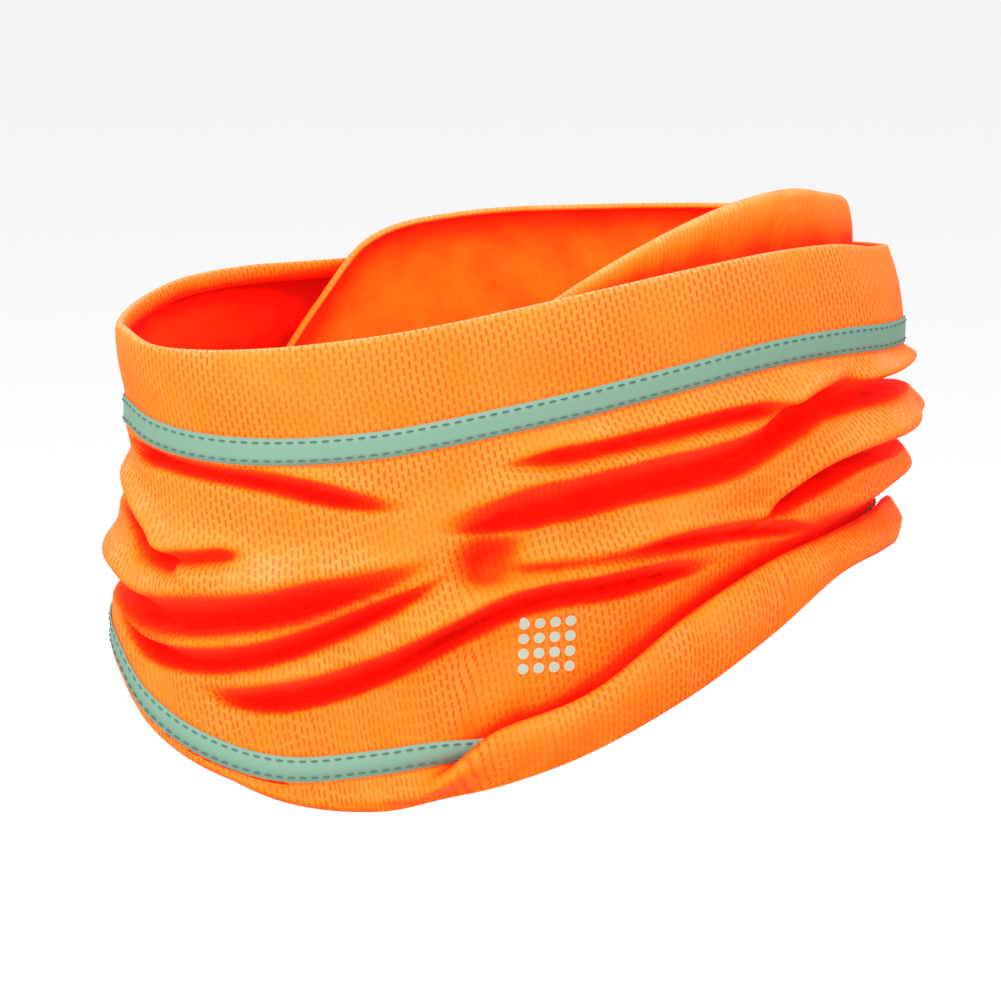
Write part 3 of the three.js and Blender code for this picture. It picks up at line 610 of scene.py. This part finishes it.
def cloth_colour_with_painted_shade(tree, wrinkle, eyelets, painted_shade_step):
    """The ramp's painted light and shade for how open the cloth is, darker in an eyelet."""
    openness = add_node(tree, "Attribute", attribute_name="openness").outputs["Fac"]
    # The hidden side is shifted further down the ramp, into painted shade.
    uneven = add_node(tree, "Math", (wrinkle, WRINKLE_SHARE, -WRINKLE_SHARE / 2 - painted_shade_step),
                      operation="MULTIPLY_ADD").outputs[0]
    lit = add_node(tree, "Math", (openness, uneven), operation="ADD").outputs[0]
    colour = add_node(tree, "ValToRGB", {"Fac": lit})
    stops = colour.color_ramp.elements
    for stop, (place, hex_colour) in zip(stops, (LIGHT_AND_SHADE_COLOURS[0], LIGHT_AND_SHADE_COLOURS[-1])):
        stop.position, stop.color = place, linear(hex_colour)
    for place, hex_colour in LIGHT_AND_SHADE_COLOURS[1:-1]:
        stops.new(place).color = linear(hex_colour)
    shaded = {"Factor": eyelets, "A": colour.outputs["Color"], "B": EYELET_SHADE}
    dark = add_node(tree, "Mix", shaded, data_type="RGBA", blend_type="MULTIPLY")
    return dark.outputs["Result"]


print("colours of the cloth:", [hex_colour for _, hex_colour in LIGHT_AND_SHADE_COLOURS])

# %% [markdown]
# Polyester yarn is fine and matt, with a soft pale sheen where the cloth turns away. Two bumps
# stand for the yarn with its sunken eyelets and for the small soft wrinkles. The emission is a
# steady painted red glow: it stands for the fluorescence, which gives back more red than falls
# on the cloth, and it also lifts the painted shade in the creases to red. The lining and the
# hidden side of the cloth are the same mesh, but fewer eyelets show there and less light comes
# in; the hidden side of the outer layer also gets painted shade, a step down the colour ramp.

# %% Mesh cloth material
YARN_SCALE, YARN_SHARE = 1600.0, 0.5
EYELET_DEPTH, WRINKLE_DEPTH = 0.35, 1.5


def cloth_relief(tree, spot, wrinkle, eyelets):
    """The facing of the cloth, bent by the yarn, the eyelets and the wrinkles."""
    yarn = add_node(tree, "TexNoise", {"Vector": spot, "Scale": YARN_SCALE, "Detail": 2.0})
    threads = add_node(tree, "Math", (yarn.outputs["Fac"], YARN_SHARE),
                       operation="MULTIPLY").outputs[0]
    height = add_node(tree, "Math", (threads, eyelets), operation="SUBTRACT").outputs[0]
    fine = add_node(tree, "Bump", {
        "Strength": 0.45, "Distance": EYELET_DEPTH * MM, "Height": height})
    soft = add_node(tree, "Bump", {
        "Strength": 0.5, "Distance": WRINKLE_DEPTH * MM, "Height": wrinkle,
        "Normal": fine.outputs["Normal"]})
    return soft.outputs["Normal"]


def cloth_material(name, eyelet_strength, painted_shade_step=0.0):
    material = bpy.data.materials.new(name)
    material.use_nodes = True
    tree = material.node_tree
    shader = tree.nodes["Principled BSDF"]
    spot = add_node(tree, "UVMap", uv_map="cloth").outputs["UV"]
    noise = add_node(tree, "TexNoise", {"Vector": spot, "Scale": WRINKLE_SCALE, "Detail": 3.0})
    wrinkle = noise.outputs["Fac"]
    eyelets = eyelet_pattern(tree, spot, eyelet_strength)
    tree.links.new(cloth_colour_with_painted_shade(tree, wrinkle, eyelets, painted_shade_step), shader.inputs["Base Color"])
    tree.links.new(cloth_relief(tree, spot, wrinkle, eyelets), shader.inputs["Normal"])
    shader.inputs["Roughness"].default_value = 0.75
    shader.inputs["Specular IOR Level"].default_value = 0.1
    shader.inputs["Sheen Weight"].default_value = 0.05
    shader.inputs["Sheen Roughness"].default_value = 0.5
    shader.inputs["Sheen Tint"].default_value = linear("#ffd0a0")
    # A steady painted red glow, though the cloth is no lamp: it stands for fluorescence and lifts
    # the shade to red.
    shader.inputs["Emission Color"].default_value = linear("#ff1000")
    shader.inputs["Emission Strength"].default_value = 0.3
    return material


cloth.data.materials.append(cloth_material("mesh_cloth_face", 1.0))
cloth.data.materials.append(cloth_material("mesh_cloth_lining", 0.15))
# The hidden side of the outer layer is painted a step further into the shade.
cloth.data.materials.append(cloth_material("mesh_cloth_back", 0.5, painted_shade_step=0.14))
cloth.data.materials.append(cloth_material("mesh_cloth_lining_back", 0.5))
face_rows = np.repeat(np.arange(CLOTH.shape[0] - 1) >= LINING_ROW, CLOTH.shape[1])
cloth.data.polygons.foreach_set("material_index", face_rows.astype(np.int32))
print("cloth materials:", [m.name for m in cloth.data.materials])

# %% [markdown]
# In a crease of bright orange cloth the light goes from fold to fold, and each time less green
# is left in it, so the orange turns to red. How open the cloth is to the light could be worked
# out anew at every pixel of a render. Here it is measured once, by casting a fan of rays from
# every point, and kept in the mesh as baked light that sets the painted shade of the colour, so
# it is the same from all sides. Most light comes from above, so a ray that points up counts for
# more than one that points down.

# %% How open the cloth is
RAYS = 20
RAY_REACH = 140
LIFT_OFF = 0.25
CLOSED_LIGHT, REACH_POWER = 0.6, 0.6
LOW_LIGHT = 0.3


def ray_fan():
    """Directions over a half sphere, denser round its pole."""
    i = np.arange(RAYS) + 0.5
    tilt, turn = np.sqrt(i / RAYS), i * math.pi * (3 - math.sqrt(5))
    return np.stack([tilt * np.cos(turn), tilt * np.sin(turn), np.sqrt(1 - tilt ** 2)])


def openness_of(mesh):
    tree = BVHTree.FromPolygons(
        [v.co for v in mesh.vertices], [tuple(p.vertices) for p in mesh.polygons])
    fan = ray_fan()
    values = np.empty(len(mesh.vertices))
    for i, vertex in enumerate(mesh.vertices):
        turned = np.array(vertex.normal.to_track_quat("Z", "Y").to_matrix()) @ fan
        start = vertex.co + vertex.normal * (LIFT_OFF * MM)
        free = 0.0
        for x, y, z in turned.T:
            reach = tree.ray_cast(start, (x, y, z), RAY_REACH * MM)[3]
            clear = 1
            if reach is not None:
                clear = CLOSED_LIGHT * (reach / (RAY_REACH * MM)) ** REACH_POWER
            free += clear * mix(LOW_LIGHT, 1, (1 + z) / 2)
        values[i] = free / RAYS
    return values


def softened(values):
    """A little blur over the grid, so that single rays don't show."""
    padded = np.pad(values, ((1, 1), (0, 0)), mode="edge")
    values = (padded[:-2] + 2 * values + padded[2:]) / 4
    return (np.roll(values, 1, 1) + 2 * values + np.roll(values, -1, 1)) / 4


thicken(cloth, CLOTH_WALL, material_offset=2, material_offset_rim=2)
both_sides = openness_of(cloth.data).reshape(2, *CLOTH.shape[:2])
openness = np.stack([softened(side) for side in both_sides])
attribute = cloth.data.attributes.new("openness", "FLOAT", "POINT")
attribute.data.foreach_set("value", openness.astype(np.float32).ravel())
print("openness", np.round(np.percentile(openness, [0, 5, 25, 50, 75, 95]), 2).tolist(),
      "triangles", 2 * len(cloth.data.polygons))

# %% [markdown]
# The tapes are narrow strips of reflective fabric, sewn flat on the cloth. A strip could be
# wrapped on to the cloth with a Shrinkwrap modifier, but on tight folds that slips. Each tape
# takes the same rows as the cloth under it, a little way off, so it never cuts the cloth.

# %% Tapes
TAPE_WALL = 0.4
SEWN_GAP = 0.15


def facing_of(grid):
    """Unit directions out of a closed grid of cloth."""
    around = np.roll(grid, -1, 1) - np.roll(grid, 1, 1)
    normal = np.cross(np.gradient(grid, axis=0), around)
    return normal / np.linalg.norm(normal, axis=2, keepdims=True)


FACING = facing_of(CLOTH)


def tape_object(name, first_row, row_count):
    rows = slice(first_row, first_row + row_count)
    grid = CLOTH[rows] + FACING[rows] * (SEWN_GAP + TAPE_WALL)
    tape = grid_object(name, grid, CLOTH_MAP[rows])
    thicken(tape, TAPE_WALL)
    return tape


tape_top = tape_object("tape_top", TOP_TAPE_ROW, TOP_TAPE_ROWS)
tape_bottom = tape_object("tape_bottom", LOW_TAPE_ROW, OUTER_STEPS + 1)
print("tapes of", TAPE_WIDTH, "mm")

# %% [markdown]
# Two rows of machine stitches hold each tape. A single stitch is a short grey thread, shaped
# once from a low sphere, and then set down every 2.8 mm along both edges of the tape. A dashed
# line in the tape's material would be flat, and these catch the light as real thread does.

# %% Stitches
STITCH_PITCH = 2.8
STITCH_LENGTH, STITCH_WIDTH, STITCH_HEIGHT = 1.8, 0.45, 0.3
STITCH_FROM_EDGE = 1.0
STITCH_SUNK = 0.3


def single_stitch():
    """The points and faces of one stitch, in millimetres, lying along X and up Z."""
    deselect()
    bpy.ops.mesh.primitive_uv_sphere_add(segments=8, ring_count=6, rotation=(0, math.pi / 2, 0))
    ball = bpy.context.object
    ball.scale = (STITCH_HEIGHT / 2, STITCH_WIDTH / 2, STITCH_LENGTH / 2)
    bpy.ops.object.transform_apply(location=False, rotation=True, scale=True)
    points = np.array([v.co for v in ball.data.vertices])
    faces = [tuple(p.vertices) for p in ball.data.polygons]
    bpy.data.objects.remove(ball)
    return points, faces


def along_ring(line, pitch):
    """Evenly spaced places on a closed line of points: the place and the way along it."""
    closed = np.concatenate([line, line[:1]])
    reach = np.append(0, np.cumsum(np.linalg.norm(np.diff(closed, axis=0), axis=1)))
    stops = np.linspace(0, reach[-1], round(reach[-1] / pitch), endpoint=False)
    def at(distance):
        distance = distance % reach[-1]
        return np.stack([np.interp(distance, reach, closed[:, k]) for k in range(3)], 1)
    way = at(stops + pitch / 4) - at(stops - pitch / 4)
    return at(stops), way / np.linalg.norm(way, axis=1, keepdims=True)


def stitch_rows(name, first_row, last_row):
    upper, lower = CLOTH[first_row], CLOTH[last_row]
    share = STITCH_FROM_EDGE / TAPE_WIDTH
    out = (FACING[first_row] + FACING[last_row]) / 2
    points, faces = single_stitch()
    all_points, all_faces = [], []
    for part in (share, 1 - share):
        line = mix(upper, lower, part) + out * (SEWN_GAP + TAPE_WALL + STITCH_HEIGHT * STITCH_SUNK)
        places, ways = along_ring(line, STITCH_PITCH)
        near = [int(np.argmin(np.sum((line - p) ** 2, 1))) for p in places]
        for place, way, i in zip(places, ways, near):
            side = np.cross(out[i], way)
            turned = points @ np.stack([way, side / np.linalg.norm(side), out[i]])
            first = len(points) * len(all_points)
            all_faces += [tuple(first + k for k in f) for f in faces]
            all_points.append(turned + place)
    mesh = bpy.data.meshes.new(name)
    mesh.from_pydata((np.concatenate(all_points) * MM).tolist(), [], all_faces)
    mesh.shade_smooth()
    return link(bpy.data.objects.new(name, mesh))


stitches_top = stitch_rows("stitches_top", TOP_TAPE_ROW, TOP_TAPE_ROW + TOP_TAPE_ROWS - 1)
stitches_bottom = stitch_rows("stitches_bottom", LOW_TAPE_ROW, LOW_TAPE_ROW + OUTER_STEPS)
print("stitch faces:", len(stitches_top.data.polygons) + len(stitches_bottom.data.polygons))

# %% [markdown]
# The front carries a small reflective print. Here it is a plain square of round dots. Each dot
# is a thin disc that is bent on to the folds, because a print moves with the cloth it is on.
# The folds are worked out again at each point of a disc, so it fits between the cloth's rows.

# %% Print
PRINT_ANGLE = -6.0
PRINT_HEIGHT = -9.4
DOTS_ACROSS, DOTS_DOWN = 4, 4
DOT_PITCH, DOT_WIDTH, DOT_WALL = 3.7, 2.6, 0.2
DOT_SIDES = 14
# Small steps round and down the cloth, between which its facing is measured
NEAR_ANGLE, NEAR_SHARE = 0.5, 0.01


def on_body(across, up):
    """Points and facings on the folded body, from distances round and up from the print."""
    degree = math.radians(1)
    angle = PRINT_ANGLE + across / (HALF_WIDTH * degree)
    shape = angle.shape
    m = {name: values.reshape(shape) for name, values in measures_at(angle.ravel()).items()}
    share = (m["tape_foot"] - PRINT_HEIGHT - up) / (m["tape_foot"] - m["lower"])
    def at(da, ds):
        out, height = body_points(angle + da, share + ds, m)
        return in_space(angle + da, out, height)
    down = at(0, NEAR_SHARE) - at(0, -NEAR_SHARE)
    normal = np.cross(down, at(NEAR_ANGLE, 0) - at(-NEAR_ANGLE, 0))
    return at(0, 0), normal / np.linalg.norm(normal, axis=-1, keepdims=True)


def print_dots():
    deselect()
    bpy.ops.mesh.primitive_cylinder_add(vertices=DOT_SIDES, radius=DOT_WIDTH / 2, depth=1)
    disc = bpy.context.object
    points = np.array([v.co for v in disc.data.vertices])
    faces = [tuple(p.vertices) for p in disc.data.polygons]
    bpy.data.objects.remove(disc)
    column, row = (a.ravel() for a in np.indices((DOTS_ACROSS, DOTS_DOWN)))
    middle = (np.array([DOTS_ACROSS, DOTS_DOWN]) - 1) / 2
    centres = (np.stack([column, row], 1) - middle) * DOT_PITCH
    flat = centres[:, None] + points[None, :, :2]
    place, out = on_body(flat[..., 0], flat[..., 1])
    off = SEWN_GAP + DOT_WALL * (points[:, 2] + 0.5)
    bent = place + out * off[None, :, None]
    all_faces = [tuple(i * len(points) + k for k in f) for i in range(len(flat)) for f in faces]
    mesh = bpy.data.meshes.new("print_dots")
    mesh.from_pydata((bent.reshape(-1, 3) * MM).tolist(), [], all_faces)
    return link(bpy.data.objects.new("print_dots", mesh))


dots = print_dots()
print("print of", DOTS_ACROSS * DOTS_DOWN, "dots,", round(dots.dimensions.z / MM, 1), "mm high")

# %% [markdown]
# The tape is woven reflective fabric: glass beads on a cloth base give it a cool grey-green with
# a fine grain, a little smoother than the scarf. Polyester thread is darker and dull, of nearly
# the same hue, and the print is a pale reflective film. Beads that throw light back to its lamp
# can't be seen in soft light, so one plain shader serves all three.

# %% Tape, thread and print materials
WEAVE_SCALE, WEAVE_DEPTH = 2200.0, 0.2


def plain_material(name, colour, roughness, grain=0.0):
    material = bpy.data.materials.new(name)
    material.use_nodes = True
    tree = material.node_tree
    shader = tree.nodes["Principled BSDF"]
    shader.inputs["Base Color"].default_value = linear(colour)
    shader.inputs["Roughness"].default_value = roughness
    if grain:
        spot = add_node(tree, "TexCoord").outputs["Object"]
        noise = add_node(tree, "TexNoise", {"Vector": spot, "Scale": WEAVE_SCALE, "Detail": 2.0})
        bump = add_node(tree, "Bump", {
            "Strength": grain, "Distance": WEAVE_DEPTH * MM, "Height": noise.outputs["Fac"]})
        tree.links.new(bump.outputs["Normal"], shader.inputs["Normal"])
    return material


tape_fabric = plain_material("reflective_tape_fabric", "#6c917d", 0.6, 0.4)
thread = plain_material("sewing_thread", "#47615c", 0.8)
print_film = plain_material("reflective_print_film", "#a6ad9a", 0.5)
for obj, material in (
    (tape_top, tape_fabric), (tape_bottom, tape_fabric),
    (stitches_top, thread), (stitches_bottom, thread), (dots, print_film),
):
    obj.data.materials.append(material)
print("materials:", len(bpy.data.materials))

# %% [markdown]
# Each piece takes the place of its CAD solid, and all ride with the scarf's one body, because
# nothing on it moves by a joint. The scarf is one sheet of cloth, gathered round the neck: laid
# flat it is a tube of half a metre round and a quarter of a metre long, and its tapes, stitches
# and print go with it.

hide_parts("fabric_tube")
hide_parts("reflective_tape_top")
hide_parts("reflective_tape_bottom")
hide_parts("reflective_print")
for obj in (cloth, tape_top, tape_bottom, stitches_top, stitches_bottom, dots):
    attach(obj, "root")

# %% [markdown]
# The scarf is shown as it is held by a neck, above a plain pale floor. A large soft light comes
# from overhead and the front, and a pale surround fills the shadows, as in a product photograph.

# %% Floor and light
FLOOR_SIZE, FLOOR_DROP = 12, 0.25


def pale_floor():
    deselect()
    bpy.ops.mesh.primitive_plane_add(size=FLOOR_SIZE)
    floor = bpy.context.object
    floor.name = "floor"
    for vertex in floor.data.vertices:
        vertex.co.z = -FLOOR_DROP
    floor.data.materials.append(plain_material("pale_floor", "#f4f4f4", 0.9))
    return floor


def soft_light(name, place, size, power):
    data = bpy.data.lights.new(name, "AREA")
    data.shape = "DISK"
    data.size = size
    data.energy = power
    lamp = link(bpy.data.objects.new(name, data))
    lamp.location = place
    lamp.rotation_euler = (-Vector(place)).to_track_quat("-Z", "Y").to_euler()
    return lamp


pale_floor()
soft_light("overhead", place=(-0.35, -0.55, 1.1), size=0.7, power=12)
soft_light("front", place=(-1.1, -1.1, 0.45), size=0.9, power=8)
world = bpy.data.worlds.new("pale_surround")
bpy.context.scene.world = world
world.use_nodes = True
background = world.node_tree.nodes["Background"]
background.inputs["Color"].default_value = linear("#ffffff")
background.inputs["Strength"].default_value = 0.98
bpy.context.scene.view_settings.view_transform = "Standard"
